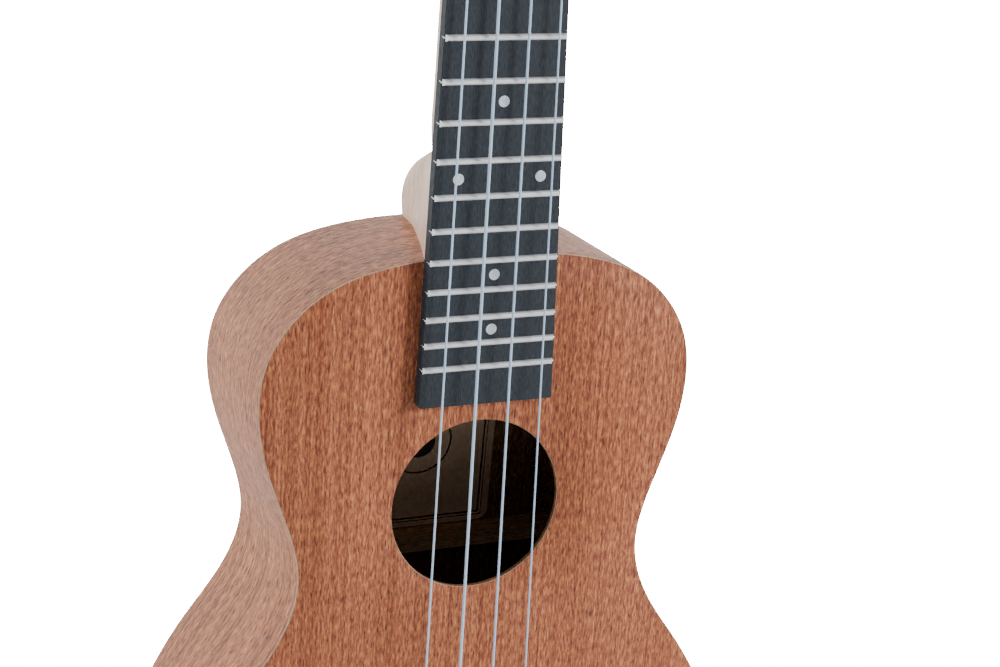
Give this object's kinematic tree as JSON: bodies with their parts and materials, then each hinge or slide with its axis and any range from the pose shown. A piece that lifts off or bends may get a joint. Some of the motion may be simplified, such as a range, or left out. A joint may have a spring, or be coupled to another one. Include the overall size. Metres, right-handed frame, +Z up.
{
  "type": "ukulele",
  "caption": "Concert ukulele with arched back, fretted neck, slotted bridge and geared tuning machines whose buttons turn worms that drive the string posts.",
  "frame": {"origin": "on the centreline at the front edge of the nut, in the plane where fretboard and neck meet, which is also the soundboard's outer plane", "axes": "+Z up along the neck towards the headstock, +X towards the treble side, -Y out of the soundboard"},
  "size_m": [0.202, 0.0783, 0.5988],
  "materials": {
    "top_wood": "satin lacquer over straight-grained brown wood",
    "body_wood": "satin lacquer over brown wood bent round the rim",
    "inner_wood": "bare pale wood",
    "label_paper": "matt parchment paper",
    "neck_wood": "satin, pinkish brown",
    "dark_wood": "matt blue-black",
    "fret_metal": "polished nickel silver",
    "pearl": "pale pearl",
    "bone": "polished ivory white",
    "nylon": "clear pale nylon",
    "tuner_metal": "bright nickel plate",
    "gear_metal": "satin brass",
    "button_plastic": "cream plastic"
  },
  "bodies": {
    "ukulele": {"soundboard": "top_wood", "back_plate": "body_wood", "side_bass": "body_wood", "side_treble": "body_wood", "neck_block": "inner_wood", "tail_block": "inner_wood", "top_linings": "inner_wood", "back_linings": "inner_wood", "soundboard_brace_upper": "inner_wood", "soundboard_brace_lower": "inner_wood", "fan_braces": "inner_wood", "bridge_plate": "inner_wood", "back_brace_upper": "inner_wood", "back_brace_middle": "inner_wood", "back_brace_lower": "inner_wood", "label": "label_paper", "neck": "neck_wood", "headstock_veneer": "top_wood", "fretboard": "dark_wood", "frets": "fret_metal", "fret_markers": "pearl", "nut": "bone", "saddle": "bone", "bridge": "dark_wood", "string_g": "nylon", "string_c": "nylon", "string_e": "nylon", "string_a": "nylon", "post_bushings": "tuner_metal", "plate_screws": "tuner_metal", "tuner_plate_g": "tuner_metal", "tuner_plate_c": "tuner_metal", "tuner_plate_e": "tuner_metal", "tuner_plate_a": "tuner_metal"},
    "worm_g": {"tuner_worm_g": "tuner_metal", "tuner_button_g": "button_plastic"},
    "post_g": {"tuner_post_g": "tuner_metal", "tuner_gear_g": "gear_metal", "tuner_gear_screw_g": "tuner_metal", "winding_g": "nylon"},
    "worm_c": {"tuner_worm_c": "tuner_metal", "tuner_button_c": "button_plastic"},
    "post_c": {"tuner_post_c": "tuner_metal", "tuner_gear_c": "gear_metal", "tuner_gear_screw_c": "tuner_metal", "winding_c": "nylon"},
    "worm_e": {"tuner_worm_e": "tuner_metal", "tuner_button_e": "button_plastic"},
    "post_e": {"tuner_post_e": "tuner_metal", "tuner_gear_e": "gear_metal", "tuner_gear_screw_e": "tuner_metal", "winding_e": "nylon"},
    "worm_a": {"tuner_worm_a": "tuner_metal", "tuner_button_a": "button_plastic"},
    "post_a": {"tuner_post_a": "tuner_metal", "tuner_gear_a": "gear_metal", "tuner_gear_screw_a": "tuner_metal", "winding_a": "nylon"}
  },
  "joints": [
    {"name": "button_turn_g", "type": "hinge", "parent": "ukulele", "child": "worm_g", "pos_m": [-0.0195, 0.02528, 0.04207], "axis": [1, 0, 0], "continuous": true},
    {"name": "post_turn_g", "type": "hinge", "parent": "ukulele", "child": "post_g", "pos_m": [-0.0195, 0.02366, 0.03506], "axis": [0, -0.9744, 0.225], "continuous": true},
    {"name": "button_turn_c", "type": "hinge", "parent": "ukulele", "child": "worm_c", "pos_m": [-0.0205, 0.03383, 0.0791], "axis": [1, 0, 0], "continuous": true},
    {"name": "post_turn_c", "type": "hinge", "parent": "ukulele", "child": "post_c", "pos_m": [-0.0205, 0.03221, 0.07208], "axis": [0, -0.9744, 0.225], "continuous": true},
    {"name": "button_turn_e", "type": "hinge", "parent": "ukulele", "child": "worm_e", "pos_m": [0.0205, 0.03383, 0.0791], "axis": [1, 0, 0], "continuous": true},
    {"name": "post_turn_e", "type": "hinge", "parent": "ukulele", "child": "post_e", "pos_m": [0.0205, 0.03221, 0.07208], "axis": [0, -0.9744, 0.225], "continuous": true},
    {"name": "button_turn_a", "type": "hinge", "parent": "ukulele", "child": "worm_a", "pos_m": [0.0195, 0.02528, 0.04207], "axis": [1, 0, 0], "continuous": true},
    {"name": "post_turn_a", "type": "hinge", "parent": "ukulele", "child": "post_a", "pos_m": [0.0195, 0.02366, 0.03506], "axis": [0, -0.9744, 0.225], "continuous": true}
  ],
  "couplings": [
    {"joint": "post_turn_g", "follows": "button_turn_g", "ratio": -0.071429},
    {"joint": "post_turn_c", "follows": "button_turn_c", "ratio": -0.071429},
    {"joint": "post_turn_e", "follows": "button_turn_e", "ratio": 0.071429},
    {"joint": "post_turn_a", "follows": "button_turn_a", "ratio": 0.071429}
  ]
}
